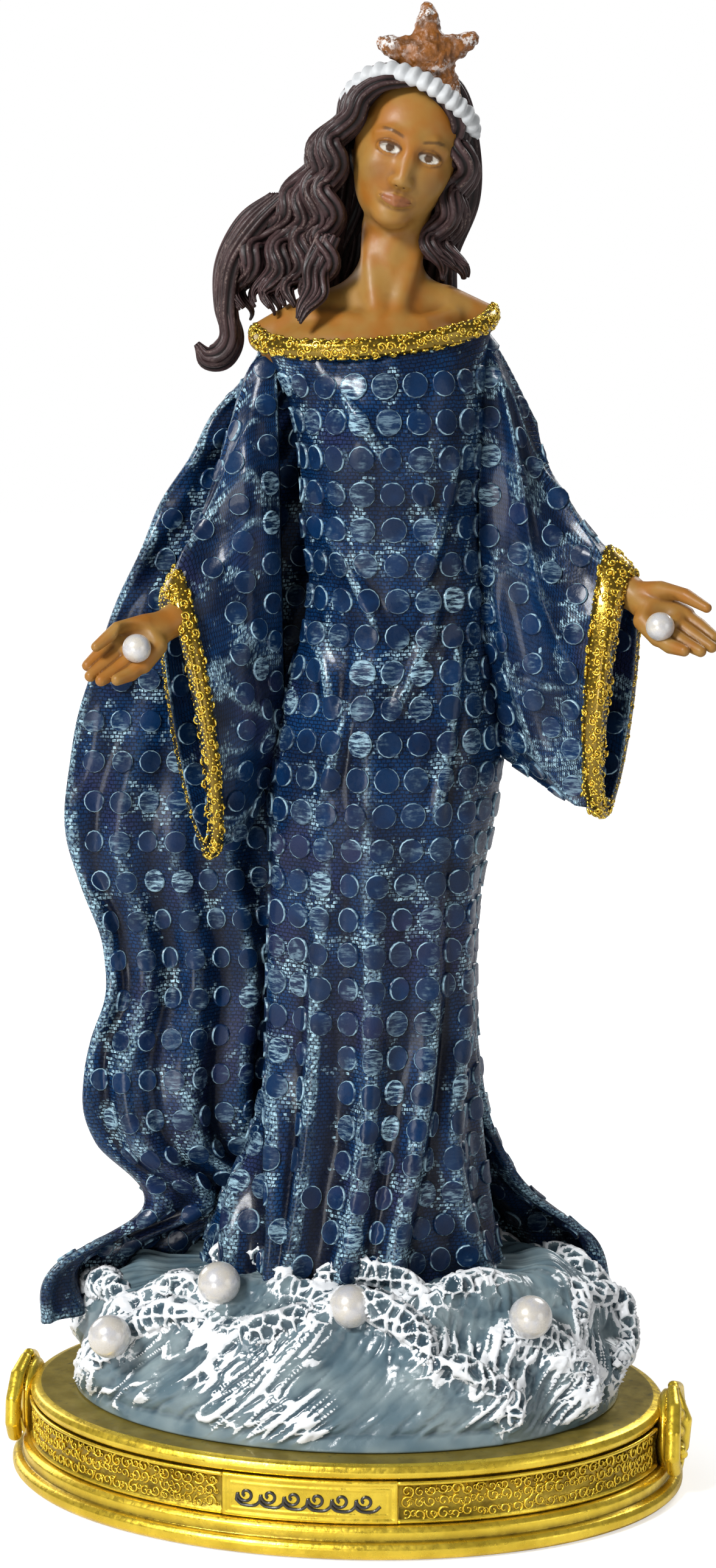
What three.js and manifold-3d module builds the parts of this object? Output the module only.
// A standing devotional figure in a sequinned gown and mantle, on waves, on an oval gilt plinth.
// Cast resin pieces, glued and pinned together. Millimetres, +Z up, the figure's front towards -Y,
// origin at the centre of the felt under the plinth.
import * as THREE from "three";
import { mergeVertices } from "three/addons/utils/BufferGeometryUtils.js";
import Module from "manifold-3d";

const wasm = await Module();
wasm.setup();

// ---- driving dimensions -------------------------------------------------------------------------
const GAP = 0.3; // glue gap between neighbouring castings
const FIGURE_TURN = THREE.MathUtils.degToRad(8.5); // the figure is turned a little on its plinth

const PLINTH = {
  halfWidth: 70.5, // of the bottom flange, along X
  depthRatio: 0.71, // depth over width of the oval
  height: 18.5,
  flangeTop: 3.4,
  stepTop: 6.4,
  friezeTop: 15.8,
  friezeIn: 5.4, // the frieze wall stands this far inside the flange
  sides: 56,
};
const FELT = { halfWidth: 62, thickness: 1.0, recess: 1.3, proud: 0.3 };
const PLAQUE = { halfWidth: 17, low: 6.8, high: 15.4, thickness: 1.3 };
const FRIEZE = { low: 6.9, high: 15.3, thickness: 0.9 };
const SCROLL = { halfDepth: 9, low: 4.2, high: 20.6 };
const PEARL = { palmRadius: 2.8, waveRadius: 4.3 };
const PIN = { radius: 0.6, anchor: 5, starLength: 9 };
const DOWEL = { radius: 4, low: 12, high: 48 };

const colour = (hex, roughness, metalness = 0) =>
  new THREE.MeshStandardMaterial({ color: hex, roughness, metalness });
const MATERIAL = {
  gilt: colour(0xc9a227, 0.35, 0.8),
  felt: colour(0x23402f, 0.95),
  sea: colour(0x7d97a3, 0.5),
  pearl: colour(0xe9e4da, 0.2),
  gown: colour(0x1d3466, 0.4),
  skin: colour(0xa9762f, 0.45),
  hair: colour(0x4a3431, 0.5),
  shell: colour(0xe8e8e4, 0.55),
  starfish: colour(0x9a5a22, 0.6),
  steel: colour(0x9a9da0, 0.35, 0.9),
};

// ---- solids -------------------------------------------------------------------------------------
const vec = (p) => new THREE.Vector3(...p);

// A closed three.js geometry as a manifold solid.
function solidOf(geometry) {
  const bare = geometry.clone();
  bare.deleteAttribute("normal");
  bare.deleteAttribute("uv");
  const merged = mergeVertices(bare, 1e-4);
  return new wasm.Manifold(
    new wasm.Mesh({
      numProp: 3,
      vertProperties: merged.attributes.position.array,
      triVerts: new Uint32Array(merged.index.array),
    }),
  );
}

// A solid's largest body, so that a cut leaves no loose sliver behind.
function largest(solid) {
  const bodies = solid.decompose();
  return bodies.reduce((a, b) => (b.volume() > a.volume() ? b : a));
}

const joined = (solids) => solids.reduce((a, b) => a.add(b));
const cut = (solid, ...tools) => largest(tools.reduce((a, b) => a.subtract(b), solid));

// Closes a ring of a thin curved sheet by joining its two long sides, which run to and fro.
function sheetCap(first, sides) {
  const faces = [];
  for (let j = 0; j < sides / 2 - 1; j++) {
    const [a, b, c, d] = [j, j + 1, sides - 2 - j, sides - 1 - j].map((k) => first + k);
    faces.push([a, b, c], [a, c, d]);
  }
  return faces;
}

// Closes a rounded ring with a fan from a point in its middle.
const fanCap = (first, sides, middle) =>
  Array.from({ length: sides }, (_, j) => [first + j, first + ((j + 1) % sides), middle]);

// Skins a list of rings, each a list of points, and closes both ends.
function loft(rings, { sheet = false } = {}) {
  const sides = rings[0].length;
  const middle = (ring) => ring.reduce((a, p) => a.add(p), new THREE.Vector3()).divideScalar(sides);
  const points = rings.flat();
  const faces = [];
  for (let i = 0; i < rings.length - 1; i++)
    for (let j = 0; j < sides; j++) {
      const a = i * sides + j;
      const b = i * sides + ((j + 1) % sides);
      faces.push([a, b, b + sides], [a, b + sides, a + sides]);
    }
  const last = (rings.length - 1) * sides;
  const count = points.length;
  if (!sheet) points.push(middle(rings[0]), middle(rings.at(-1)));
  const foot = sheet ? sheetCap(0, sides) : fanCap(0, sides, count);
  const top = sheet ? sheetCap(last, sides) : fanCap(last, sides, count + 1);
  faces.push(...foot.map(([a, b, c]) => [b, a, c]), ...top);
  const geometry = new THREE.BufferGeometry().setFromPoints(points).setIndex(faces.flat());
  const solid = solidOf(geometry);
  return solid.volume() < 0 ? solidOf(flipped(geometry)) : solid;
}

function flipped(geometry) {
  const index = Array.from(geometry.index.array);
  for (let i = 0; i < index.length; i += 3) [index[i], index[i + 1]] = [index[i + 1], index[i]];
  return geometry.clone().setIndex(index);
}

// A round or oval bar along a path. Each station is [x, y, z, half width, half depth].
function bar(stations, { grow = 0, sides = 10, across = [0, 1, 0] } = {}) {
  const centres = stations.map((s) => vec(s));
  const rings = stations.map((s, i) => {
    const before = centres[Math.max(i - 1, 0)];
    const after = centres[Math.min(i + 1, centres.length - 1)];
    const along = after.clone().sub(before).normalize();
    const wide = new THREE.Vector3().crossVectors(vec(across), along).normalize();
    const deep = new THREE.Vector3().crossVectors(along, wide);
    const end = i === 0 ? -grow : i === centres.length - 1 ? grow : 0;
    const centre = centres[i].clone().addScaledVector(along, end);
    return Array.from({ length: sides }, (_, j) => {
      const angle = (2 * Math.PI * j) / sides;
      return centre
        .clone()
        .addScaledVector(wide, Math.cos(angle) * (s[3] + grow))
        .addScaledVector(deep, Math.sin(angle) * ((s[4] ?? s[3]) + grow));
    });
  });
  return loft(rings);
}

// An ellipsoid, leaned by an angle about Y.
function egg([x, y, z], [rx, ry, rz], { grow = 0, lean = 0, sides = 16 } = {}) {
  const geometry = new THREE.SphereGeometry(1, sides, Math.round(sides * 0.6));
  geometry.scale(rx + grow, ry + grow, rz + grow);
  geometry.rotateY(lean);
  geometry.translate(x, y, z);
  return solidOf(geometry);
}

function block([x0, y0, z0], [x1, y1, z1]) {
  const geometry = new THREE.BoxGeometry(x1 - x0, y1 - y0, z1 - z0);
  geometry.translate((x0 + x1) / 2, (y0 + y1) / 2, (z0 + z1) / 2);
  return solidOf(geometry);
}

// A straight round pin between two points.
const pin = (from, to, radius, grow = 0) =>
  bar([[...from, radius], [...to, radius]], { grow, sides: 12 });

// ---- the plinth, in the part's own frame --------------------------------------------------------
// An oval turned profile: a lathe squeezed in depth. Profile points are [radius, height].
function oval(profile, sides = PLINTH.sides) {
  const geometry = new THREE.LatheGeometry(
    profile.map(([r, z]) => new THREE.Vector2(r, z)),
    sides,
  );
  geometry.rotateX(Math.PI / 2);
  geometry.scale(1, PLINTH.depthRatio, 1);
  const solid = solidOf(geometry);
  return solid.volume() < 0 ? solidOf(flipped(geometry)) : solid;
}

const friezeRadius = PLINTH.halfWidth - PLINTH.friezeIn;

function plinth() {
  const r = PLINTH.halfWidth;
  const bottom = FELT.proud;
  return oval([
    [0, bottom + FELT.recess],
    [FELT.halfWidth + GAP, bottom + FELT.recess],
    [FELT.halfWidth + GAP, bottom],
    [r - 1, bottom],
    [r, 1.2],
    [r, 2.6],
    [r - 0.8, PLINTH.flangeTop],
    [r - 2.2, 3.7],
    [r - 2.2, 5.6],
    [r - 3.2, PLINTH.stepTop],
    [friezeRadius, 6.7],
    [friezeRadius, 15.5],
    [r - 4.4, PLINTH.friezeTop],
    [r - 4.0, 17],
    [r - 4.8, 18.1],
    [r - 6.4, PLINTH.height],
    [0, PLINTH.height],
  ]);
}

// The plinth's outline with a glue gap outside it, which shapes the backs of the scroll mounts.
function mountSeat() {
  const r = PLINTH.halfWidth;
  const [flange, step, wall] = [r + GAP, r - 2.2 + GAP, friezeRadius + GAP];
  return oval([
    [0, -1],
    [flange, -1],
    [flange, PLINTH.flangeTop + GAP],
    [step, 3.7 + GAP],
    [step, 5.6 + GAP],
    [r - 3.2 + GAP, PLINTH.stepTop + 2 * GAP],
    [wall, PLINTH.stepTop + 2 * GAP],
    [wall, PLINTH.friezeTop - 2 * GAP],
    [r - 3.5, PLINTH.friezeTop - GAP],
    [r - 3.5, 18],
    [r - 5.9, PLINTH.height + GAP],
    [0, PLINTH.height + GAP],
  ]);
}

const feltPad = () =>
  oval([[0, 0], [FELT.halfWidth, 0], [FELT.halfWidth, FELT.thickness], [0, FELT.thickness]]);

// A curved slab on the frieze wall between two angles, measured from +X.
function friezeSlab(fromDegrees, toDegrees, { low, high, thickness }) {
  const steps = Math.max(4, Math.round(Math.abs(toDegrees - fromDegrees) / 5));
  const rings = Array.from({ length: steps + 1 }, (_, i) => {
    const angle = THREE.MathUtils.degToRad(fromDegrees + ((toDegrees - fromDegrees) * i) / steps);
    const at = (radius, z) =>
      vec([Math.cos(angle) * radius, Math.sin(angle) * radius * PLINTH.depthRatio, z]);
    const inner = friezeRadius + 0.5;
    const outer = inner + thickness;
    return [at(inner, low), at(outer, low), at(outer, high), at(inner, high)];
  });
  return loft(rings);
}

// The angle on the oval at which a point of the frieze has this X.
const plaqueHalfAngle = THREE.MathUtils.radToDeg(Math.asin(PLAQUE.halfWidth / friezeRadius));
const FRONT = 270;
const SCROLL_ANGLE = 10; // half of the frieze's length that a scroll mount covers

// An acanthus scroll mount at one end of the plinth: a leaf block with two volutes.
function scrollMount(side) {
  const x = (r) => side * r;
  const wall = friezeRadius + 0.4;
  const leaf = bar(
    [
      [x(wall + 1.4), 0, SCROLL.low, 1.8, SCROLL.halfDepth * 0.5],
      [x(wall + 2.2), 0, 8, 2.2, SCROLL.halfDepth * 0.75],
      [x(wall + 2.2), 0, 14, 2.4, SCROLL.halfDepth],
      [x(wall + 1.8), 0, 18, 2.2, SCROLL.halfDepth * 0.7],
      [x(wall + 1.2), 0, SCROLL.high, 1.2, SCROLL.halfDepth * 0.35],
    ],
    { sides: 12 },
  );
  const volutes = [-1, 1].map((end) =>
    bar([[x(wall + 3.4), end * 7, 9.4, 2.6], [x(wall + 3.4), end * 3.4, 9.4, 2.6]], {
      sides: 12,
      across: [1, 0, 0],
    }),
  );
  return joined([leaf, ...volutes]);
}

// ---- the sea, in the part's own frame -----------------------------------------------------------
// Ring of the wave mound: half width, front and back reach, height, and how much the crests roll.
function seaRing(halfWidth, front, back, z, roll, sides = 36) {
  return Array.from({ length: sides }, (_, j) => {
    const angle = (2 * Math.PI * j) / sides;
    const deep = Math.sin(angle) < 0 ? front : back;
    const swell = 1 + 0.02 * Math.cos(5 * angle) + 0.02 * Math.sin(3 * angle);
    const height = z + roll * (Math.sin(4 * angle + 0.6) + 0.5 * Math.sin(9 * angle));
    return vec([Math.cos(angle) * halfWidth * swell, Math.sin(angle) * deep * swell, height]);
  });
}

function seaMound() {
  return loft([
    seaRing(57, 41, 40, PLINTH.height + GAP, 0),
    seaRing(57.5, 41, 40.5, 26, 0.3),
    seaRing(55, 37, 37, 34, 1.0),
    seaRing(50, 31, 32, 41, 1.8),
    seaRing(44, 25.5, 27, 46, 2.2),
    seaRing(37, 20, 22, 45, 1.2),
  ]);
}

// Breaking crests that stand out of the mound: middle and half sizes.
const CRESTS = [
  [[-35, -30, 38], [10, 6, 8]],
  [[-14, -33, 38], [11, 6, 9]],
  [[16, -31, 39], [12, 7, 9]],
  [[50, -12, 38], [7, 10, 8]],
  [[-49, -8, 37], [6, 11, 7]],
  [[30, 26, 39], [12, 7, 8]],
  [[-20, 30, 38], [14, 7, 8]],
];
const seaCasting = () =>
  joined([seaMound(), ...CRESTS.map(([at, half]) => egg(at, half, { sides: 10 }))]);

// Pearls set in the waves, in the part's own frame.
const WAVE_PEARLS = [
  [-43.0, -31.0, 36.8],
  [-21.5, -26.5, 47.5],
  [5.5, -29.0, 44.8],
  [41.0, -24.5, 42.8],
];

// ---- the figure, in its own turned frame --------------------------------------------------------
// Gown sections: height, middle X, half width, front reach, back reach.
const GOWN = [
  [31, 2, 33, 23, 21],
  [50, 1, 29.5, 22.5, 20],
  [70, 4, 24, 20, 18],
  [92, 5.5, 21, 18, 16],
  [119, 6, 21, 18, 16],
  [147, 8.3, 23.3, 19, 17],
  [165, 9.5, 21, 17, 15],
  [182, 10.4, 17.6, 15, 13],
  [200, 9.6, 17.6, 16.5, 13],
  [218, 8.7, 18.5, 19, 13],
  [228, 7.5, 20.5, 17.5, 12],
  [235, 6.5, 22, 14, 10],
];

function gown(grow = 0) {
  const sides = 28;
  const rings = GOWN.map(([z, middle, half, front, back], i) => {
    const end = i === 0 ? -grow : i === GOWN.length - 1 ? grow : 0;
    const fold = z < 125 ? 0.9 : 0;
    return Array.from({ length: sides }, (_, j) => {
      const angle = (2 * Math.PI * j) / sides;
      const reach = (Math.sin(angle) < 0 ? front : back) + grow;
      const ripple = 1 + (fold * (j % 2 ? 1 : -1)) / half;
      return vec([
        middle + Math.cos(angle) * (half + grow) * ripple,
        Math.sin(angle) * reach * ripple,
        z + end,
      ]);
    });
  });
  return loft(rings);
}

// The mantle behind the gown. Each row: height, then [x, y] from the left edge round to the right.
const MANTLE = [
  [232, [-17, 5], [-13, 11], [-4, 15], [8, 16], [20, 14], [28, 9], [30, 4]],
  [207, [-28, 3], [-20, 9], [-9, 16], [8, 18], [20, 15], [27, 9], [29, 4]],
  [172, [-46, 7], [-34, 9], [-14, 15], [8, 20], [22, 17], [30, 10], [31, 5]],
  [152, [-56, 7], [-40, 6], [-20, 11], [8, 23], [25, 19], [31, 11], [32, 6]],
  [132, [-57, 6], [-41, 5], [-21, 9], [8, 23], [23, 18], [28, 10], [28, 5]],
  [106, [-49, 3], [-37, 7], [-20, 9], [6, 23], [21, 18], [26, 11], [26, 7]],
  [84, [-54, 3], [-39, 2], [-23, 9], [5, 25], [22, 20], [27, 13], [27, 8]],
  [69, [-52, 3], [-39, 0], [-25, 8], [4, 27], [24, 21], [30, 14], [31, 8]],
  [56, [-42, 2], [-36, 2], [-27, 7], [2, 30], [28, 24], [37, 17], [39, 10]],
  [46, [-61, 0], [-45, 5], [-31, 12], [0, 32], [32, 27], [49, 19], [52, 12]],
  [34, [-62, 0], [-46, 6], [-32, 13], [0, 33], [33, 29], [53, 20], [56, 12]],
];
const MANTLE_HALF = 1.3; // half of the mantle's thickness
const MANTLE_STEPS = 16;

function mantle(grow = 0) {
  const half = MANTLE_HALF + grow;
  const rings = MANTLE.map(([z, ...line], i) => {
    const end = i === 0 ? grow : i === MANTLE.length - 1 ? -grow : 0;
    const curve = new THREE.CatmullRomCurve3(line.map(([x, y]) => vec([x, y, z + end])));
    const side = (sign) =>
      Array.from({ length: MANTLE_STEPS + 1 }, (_, j) => {
        const tangent = curve.getTangentAt(j / MANTLE_STEPS);
        const beyond = j === 0 ? -grow : j === MANTLE_STEPS ? grow : 0;
        const out = vec([-tangent.y, tangent.x, 0]).multiplyScalar(sign * half);
        return curve.getPointAt(j / MANTLE_STEPS).add(out).addScaledVector(tangent, beyond);
      });
    return [...side(1), ...side(-1).reverse()];
  });
  return loft(rings, { sheet: true });
}

// A sleeve is a curtain of rings between the shoulder and the hem:
// [top, bottom, half thickness, how far the ring's back edge leans outwards].
const SLEEVES = {
  left: [
    [[-13.5, 1, 234.5], [-12, 2, 152], 6, 0],
    [[-20, -1, 226], [-16, -3, 144], 8, -0.1],
    [[-28, -3, 205], [-21, -8, 136], 8.5, -0.3],
    [[-36, -12, 188.5], [-27.5, -11, 133], 8, -0.5],
  ],
  right: [
    [[26.5, 1, 238], [27, 2, 160], 6, 0],
    [[33.5, 0, 228], [33, -1, 151], 8, 0.1],
    [[41.5, -2, 206], [42, -5, 144], 8.5, 0.3],
    [[56.5, -11, 191], [52.5, -10, 140], 8, 0.5],
  ],
};
const SLEEVE_WALL = 2;
const BRAID = { lap: 0.72, thickness: 1.5 }; // where the hem's braid starts on the last span

const mix = (a, b, t) => a.map((v, i) => v + (b[i] - v) * t);

function sleeveSkin(rows, { grow = 0, extend = 0 } = {}) {
  const sides = 18;
  const rings = rows.map(([top, bottom, half, skew], i) => {
    const up = vec(top).sub(vec(bottom)).multiplyScalar(0.5);
    const middle = vec(top).add(vec(bottom)).multiplyScalar(0.5);
    const next = rows[Math.min(i + 1, rows.length - 1)];
    const before = rows[Math.max(i - 1, 0)];
    const along = vec(next[0]).sub(vec(before[0])).normalize();
    if (i === rows.length - 1) middle.addScaledVector(along, extend);
    const deep = new THREE.Vector3(skew, 1, 0).normalize();
    const scale = (up.length() + grow) / up.length();
    return Array.from({ length: sides }, (_, j) => {
      const angle = (2 * Math.PI * j) / sides;
      return middle
        .clone()
        .addScaledVector(up, Math.cos(angle) * scale)
        .addScaledVector(deep, Math.sin(angle) * (half + grow));
    });
  });
  return loft(rings);
}

const sleeveHollow = (rows) => sleeveSkin(rows.slice(-2), { grow: -SLEEVE_WALL, extend: 4 });

// The gilt braid round a sleeve's hem: a loop that hugs the last of the sleeve.
function hemBraid(rows) {
  const [a, b] = rows.slice(-2);
  const start = a.map((v, i) => (i < 2 ? mix(v, b[i], BRAID.lap) : v + (b[i] - v) * BRAID.lap));
  const band = sleeveSkin([start, b], { grow: BRAID.thickness });
  return band.subtract(sleeveSkin(rows, { grow: GAP, extend: 6 }));
}

// Head, neck and shoulders in one casting, its foot let into the gown.
const HEAD = { middle: [12.2, -1, 271], half: [10, 12, 15.2], lean: 0.28 };

function bust(grow = 0) {
  const head = egg(HEAD.middle, HEAD.half, { grow, lean: HEAD.lean });
  const neck = bar(
    [[7.5, 1.5, 234, 9, 8], [8.3, 1.4, 243, 6.4, 6], [9.5, 0.6, 250, 5.9], [11, 0, 262, 6.2]],
    { grow, sides: 14 },
  );
  const chest = egg([6.5, 0.5, 233], [23.5, 11.5, 7.8], { grow, sides: 18 });
  const shoulders = bar(
    [[-17, 1.5, 235.5, 3.4], [-7, 2, 239.5, 4.4], [8, 2, 243, 5], [20, 2, 241.5, 4.4], [28.2, 1.5, 239, 3.4]],
    { grow, sides: 12 },
  );
  const foot = block([-40, -40, 200], [60, 40, 229 - grow]);
  return joined([head, neck, chest, shoulders]).subtract(foot);
}

// The braid round the gown's neckline, dipping in front and rising to the right shoulder.
const NECKLINE = {
  middle: 6,
  half: 23.4,
  front: 15,
  back: 11.5,
  low: 236.0,
  high: 239.2,
  rise: 2.0,
  dip: 4.6,
};
function neckBraid(grow = 0) {
  const loop = (out, z) =>
    Array.from({ length: 32 }, (_, j) => {
      const angle = (2 * Math.PI * j) / 32;
      const [x, y] = [Math.cos(angle), Math.sin(angle)];
      const reach = y < 0 ? NECKLINE.front : NECKLINE.back;
      const height = z + NECKLINE.rise * x + NECKLINE.dip * Math.min(y, 0);
      return vec([NECKLINE.middle + x * (NECKLINE.half + out), y * (reach + out), height]);
    });
  const out = 1 + grow;
  const outer = loft([loop(out, NECKLINE.low - grow), loop(out, NECKLINE.high + grow)]);
  return outer.subtract(bust(GAP - grow)).subtract(gown(grow ? -0.1 : GAP));
}

// ---- hair, crown band and starfish ---------------------------------------------------------------
function hairCrown(grow = 0) {
  const cap = egg([12.8, 2.6, 273.4], [12.6, 12.6, 15.6], { grow, lean: HEAD.lean, sides: 14 });
  const fall = bar(
    [
      [12, 9, 272, 12, 7],
      [9, 12, 256, 14, 6.5],
      [6, 14.5, 242, 15, 5.5],
      [4, 17, 226, 11, 4],
      [3, 19, 214, 5, 2.5],
    ],
    { grow, sides: 10 },
  );
  const face = block([0, -30, 250], [24, -8.6, 283.5]);
  return joined([cap, fall]).subtract(face);
}

const LOCKS = {
  left: [
    [
      [2, -2, 277, 4.5],
      [-3, -1, 266, 6.5],
      [-9, 0, 256, 6.8],
      [-16, 1, 248, 6],
      [-20, 2, 238, 4],
      [-22.5, 4, 228, 3],
    ],
    [[-22.5, 4, 233, 2.4], [-25.5, 5, 229.5, 3.2], [-28.8, 5, 228.5, 1.6]],
    [[-4, -4, 256, 4.5], [-5, -6, 247, 4.2], [-7, -9, 241.5, 2.2]],
  ],
  right: [
    [[20, -1, 278, 4.2], [24, 0, 267, 4.6], [23, 1, 256, 5], [21.5, 0, 248, 4.6], [25, -1, 243, 3]],
  ],
};
const locks = (side, grow = 0) =>
  joined(LOCKS[side].map((stations) => bar(stations, { grow, sides: 10, across: [0, 1, 0.01] })));

// A ruched white band laid over the front of the crown, from ear to ear.
const BAND = {
  line: [[0.6, 0.5, 280], [2.2, -1.6, 283.8], [5.4, -3.4, 286.2], [9.6, -5, 286.8], [14.5, -6.2, 285.2],
    [19.2, -5.6, 282.2], [23, -3.6, 278.8], [25.6, -0.4, 275]],
  halfHeight: 1.9,
  halfDepth: 1.7,
  stations: 14,
};
function crownBand(grow = 0) {
  const curve = new THREE.CatmullRomCurve3(BAND.line.map(vec));
  const stations = Array.from({ length: BAND.stations + 1 }, (_, i) => [
    ...curve.getPointAt(i / BAND.stations).toArray(),
    BAND.halfHeight,
    BAND.halfDepth,
  ]);
  return bar(stations, { grow, sides: 10, across: [0, 1, 0] });
}

// Starfish: five blunt arms in an upright plate, leaning with the head.
const STAR = { middle: [16.6, -3.2, 288.6], arm: 10.6, waist: 4.6, thickness: 4.4, turn: 0.04 };
function starfish(grow = 0) {
  const shape = new THREE.Shape();
  for (let i = 0; i < 10; i++) {
    const radius = (i % 2 ? STAR.waist : STAR.arm) + grow;
    const half = i % 2 ? 0 : 0.16;
    for (const side of half ? [-half, half] : [0]) {
      const angle = Math.PI / 2 - (Math.PI * i) / 5 + STAR.turn - side;
      const point = [Math.cos(angle) * radius, Math.sin(angle) * radius];
      if (i === 0 && side === -half) shape.moveTo(...point);
      else shape.lineTo(...point);
    }
  }
  shape.closePath();
  const depth = STAR.thickness + 2 * grow;
  const geometry = new THREE.ExtrudeGeometry(shape, { depth, bevelEnabled: false });
  geometry.translate(0, 0, -depth / 2);
  geometry.rotateX(Math.PI / 2);
  geometry.translate(...STAR.middle);
  return solidOf(geometry);
}

// ---- hands ---------------------------------------------------------------------------------------
// Each hand runs up a short forearm into the solid part of its sleeve, and is pinned there.
const HANDS = {
  left: {
    forearm: [-28, -5, 196],
    wrist: [-34, -14, 184],
    palm: [-40.2, -20, 176.6],
    tips: [-48.2, -24.5, 168.8],
    thumb: [[-39.5, -19, 181.2, 1.8], [-44, -22.5, 179.8, 1.7], [-48, -25, 176.4, 1.1]],
  },
  right: {
    forearm: [44, -5, 196],
    wrist: [56, -11, 187.5],
    palm: [62.2, -17, 181],
    tips: [70.4, -23, 174.2],
    thumb: [[62, -16, 186, 1.8], [66.5, -20, 185.2, 1.6], [70.2, -23.4, 183.2, 0.9]],
  },
};

function hand(side, grow = 0) {
  const { forearm, wrist, palm, tips, thumb } = HANDS[side];
  const knuckles = mix(palm, tips, 0.55);
  const body = bar(
    [
      [...forearm, 3.8, 3.6],
      [...wrist, 3.1, 2.8],
      [...palm, 4.9, 2.6],
      [...knuckles, 4.8, 2.3],
      [...tips, 3.2, 1.6],
    ],
    { grow, sides: 12, across: [0, 0.8, 0.6] },
  );
  return joined([body, bar(thumb, { grow, sides: 8, across: [0, 1, 0.3] })]);
}

const PALM_PEARLS = { left: [-40.2, -24, 175.4], right: [61.4, -21.6, 179.4] };

function handPin(side, grow = 0) {
  const { forearm, wrist } = HANDS[side];
  const along = vec(forearm).sub(vec(wrist)).normalize();
  const inner = vec(mix(wrist, forearm, 0.35));
  const outer = vec(forearm).addScaledVector(along, PIN.anchor);
  return pin(inner.toArray(), outer.toArray(), PIN.radius, grow);
}

const starPin = (grow = 0) =>
  pin([16.2, -2.6, 288], [14.4, -0.8, 288 - PIN.starLength], PIN.radius, grow);

// ---- assembly ------------------------------------------------------------------------------------
const statue = new THREE.Group();
const figure = new THREE.Group();
figure.rotation.z = FIGURE_TURN;
statue.add(figure);

function place(parent, name, solid, material) {
  const made = solid.getMesh();
  const geometry = new THREE.BufferGeometry()
    .setAttribute("position", new THREE.BufferAttribute(made.vertProperties, 3))
    .setIndex(new THREE.BufferAttribute(made.triVerts, 1));
  const mesh = new THREE.Mesh(geometry, material);
  mesh.name = name;
  parent.add(mesh);
}

// A solid of the figure's turned frame, in the part's own frame.
const turned = (solid) => solid.rotate([0, 0, THREE.MathUtils.radToDeg(FIGURE_TURN)]);

const dowel = (grow = 0) => pin([0, 0, DOWEL.low], [0, 0, DOWEL.high], DOWEL.radius, grow);
const wavePearl = (at, grow = 0) =>
  egg(at, [PEARL.waveRadius, PEARL.waveRadius, PEARL.waveRadius], { grow, sides: 12 });
const palmPearl = (side, grow = 0) =>
  egg(PALM_PEARLS[side], [PEARL.palmRadius, PEARL.palmRadius, PEARL.palmRadius], { grow, sides: 10 });

place(statue, "felt_pad", feltPad(), MATERIAL.felt);
place(statue, "plinth", cut(plinth(), dowel(GAP)), MATERIAL.gilt);
place(
  statue,
  "name_plaque",
  friezeSlab(FRONT - plaqueHalfAngle, FRONT + plaqueHalfAngle, PLAQUE),
  MATERIAL.gilt,
);
place(
  statue,
  "frieze_front_left",
  friezeSlab(180 + SCROLL_ANGLE, FRONT - plaqueHalfAngle - 1, FRIEZE),
  MATERIAL.gilt,
);
place(
  statue,
  "frieze_front_right",
  friezeSlab(FRONT + plaqueHalfAngle + 1, 360 - SCROLL_ANGLE, FRIEZE),
  MATERIAL.gilt,
);
place(statue, "frieze_rear", friezeSlab(SCROLL_ANGLE, 180 - SCROLL_ANGLE, FRIEZE), MATERIAL.gilt);
for (const [name, side] of [["left", -1], ["right", 1]])
  place(statue, `scroll_mount_${name}`, cut(scrollMount(side), mountSeat()), MATERIAL.gilt);
place(statue, "plinth_dowel", dowel(), MATERIAL.steel);
place(
  statue,
  "sea_waves",
  cut(
    seaCasting(),
    turned(gown(GAP)),
    turned(mantle(GAP)),
    dowel(GAP),
    ...WAVE_PEARLS.map((at) => wavePearl(at, GAP)),
  ),
  MATERIAL.sea,
);
WAVE_PEARLS.forEach((at, i) =>
  place(statue, `wave_pearl_${i + 1}`, wavePearl(at), MATERIAL.pearl),
);

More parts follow.
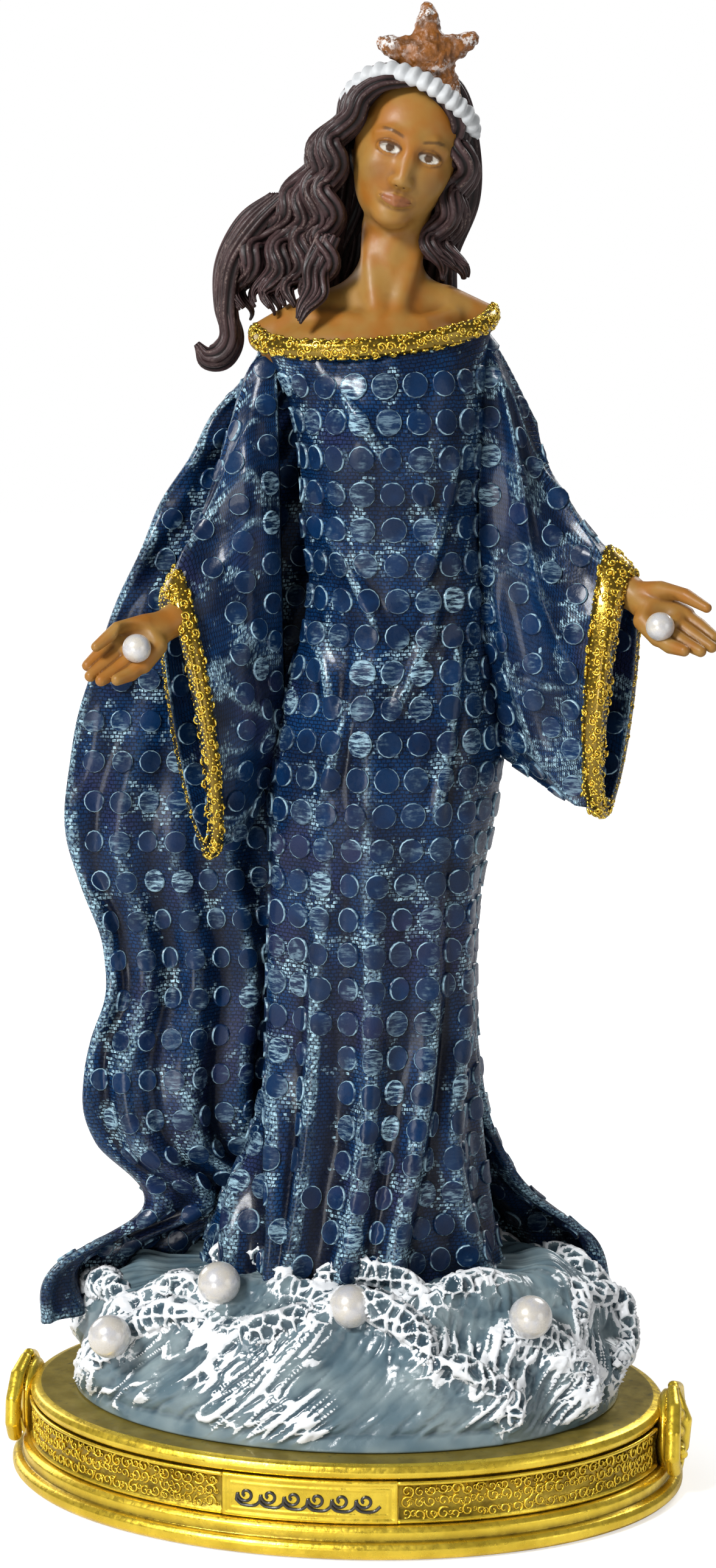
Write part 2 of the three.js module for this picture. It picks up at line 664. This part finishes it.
place(figure, "gown", cut(gown(), bust(GAP), dowel(GAP)), MATERIAL.gown);
place(figure, "mantle", cut(mantle(), gown(GAP)), MATERIAL.gown);
for (const side of ["left", "right"]) {
  const rows = SLEEVES[side];
  place(
    figure,
    `sleeve_${side}`,
    cut(
      sleeveSkin(rows),
      sleeveHollow(rows),
      gown(GAP),
      mantle(GAP),
      bust(GAP),
      hand(side, GAP),
      handPin(side, GAP),
    ),
    MATERIAL.gown,
  );
  place(
    figure,
    `sleeve_braid_${side}`,
    cut(hemBraid(rows), hand(side, GAP), mantle(GAP)),
    MATERIAL.gilt,
  );
  place(
    figure,
    `hand_${side}`,
    cut(hand(side), handPin(side, GAP), palmPearl(side, GAP)),
    MATERIAL.skin,
  );
  place(figure, `palm_pearl_${side}`, palmPearl(side), MATERIAL.pearl);
  place(figure, `hand_pin_${side}`, handPin(side), MATERIAL.steel);
}
place(figure, "bust", cut(bust(), starPin(GAP)), MATERIAL.skin);
place(
  figure,
  "neck_braid",
  cut(
    neckBraid(),
    mantle(GAP),
    locks("left", GAP),
    locks("right", GAP),
    sleeveSkin(SLEEVES.left, { grow: GAP }),
    sleeveSkin(SLEEVES.right, { grow: GAP }),
  ),
  MATERIAL.gilt,
);
place(
  figure,
  "hair_crown",
  cut(
    hairCrown(),
    bust(GAP),
    gown(GAP),
    mantle(GAP),
    neckBraid(GAP),
    crownBand(GAP),
    starfish(GAP),
    starPin(GAP),
  ),
  MATERIAL.hair,
);
for (const side of ["left", "right"])
  place(
    figure,
    `hair_locks_${side}`,
    cut(
      locks(side),
      bust(GAP),
      hairCrown(GAP),
      gown(GAP),
      mantle(GAP),
      crownBand(GAP),
      ...["left", "right"].map((s) => sleeveSkin(SLEEVES[s], { grow: GAP })),
    ),
    MATERIAL.hair,
  );
place(
  figure,
  "crown_band",
  cut(crownBand(), bust(GAP), starfish(GAP), starPin(GAP)),
  MATERIAL.shell,
);
place(figure, "starfish", cut(starfish(), bust(GAP), starPin(GAP)), MATERIAL.starfish);
place(figure, "star_pin", starPin(), MATERIAL.steel);

export default statue;
